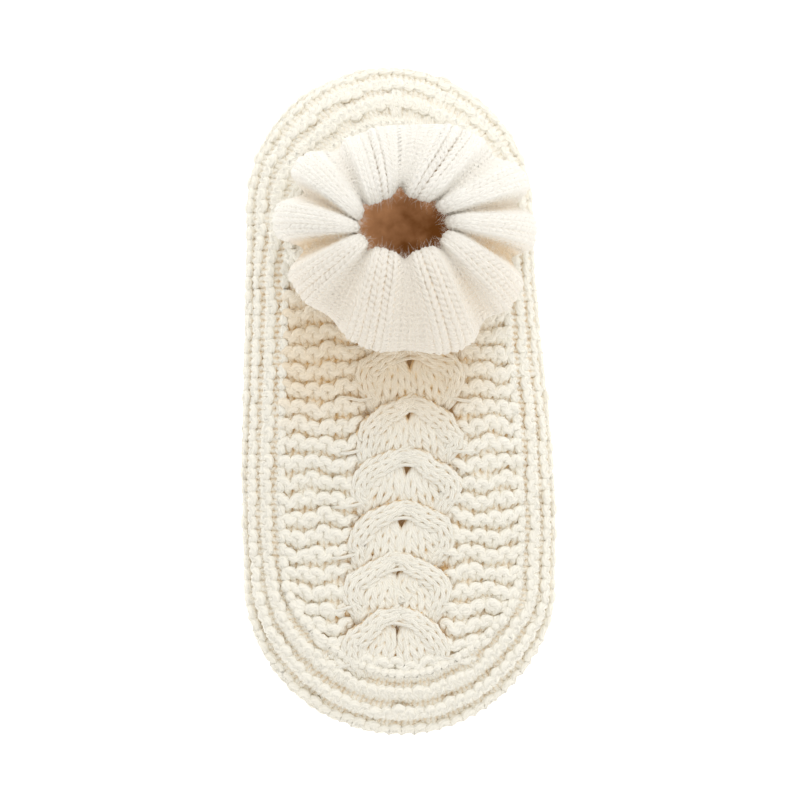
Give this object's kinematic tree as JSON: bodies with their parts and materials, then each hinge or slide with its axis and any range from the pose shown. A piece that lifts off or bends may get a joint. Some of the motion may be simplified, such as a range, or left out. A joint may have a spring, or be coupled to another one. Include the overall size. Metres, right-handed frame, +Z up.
{
  "type": "slipper sock",
  "caption": "Chunky cream knitted house slipper with a raised horseshoe cable down the instep, garter stitch sides and a gathered rib cuff.",
  "frame": {"origin": "middle of the footprint, on the plane that the sole rests on", "axes": "+X to the right seen from above with the toe towards the viewer, -Y towards the toe and +Y towards the heel, +Z up out of the ankle"},
  "size_m": [0.1172, 0.25, 0.0864],
  "materials": {
    "chunky_knit": "thick wool yarn, soft and slightly hairy",
    "sole_knit": "thick wool yarn, pressed a little flatter",
    "felt": "matt tan felt",
    "rib_knit": "finer wool rib with an elastic edge"
  },
  "bodies": {
    "root": {"upper": "chunky_knit", "sole": "sole_knit", "insole": "felt", "cuff": "rib_knit"}
  },
  "joints": []
}
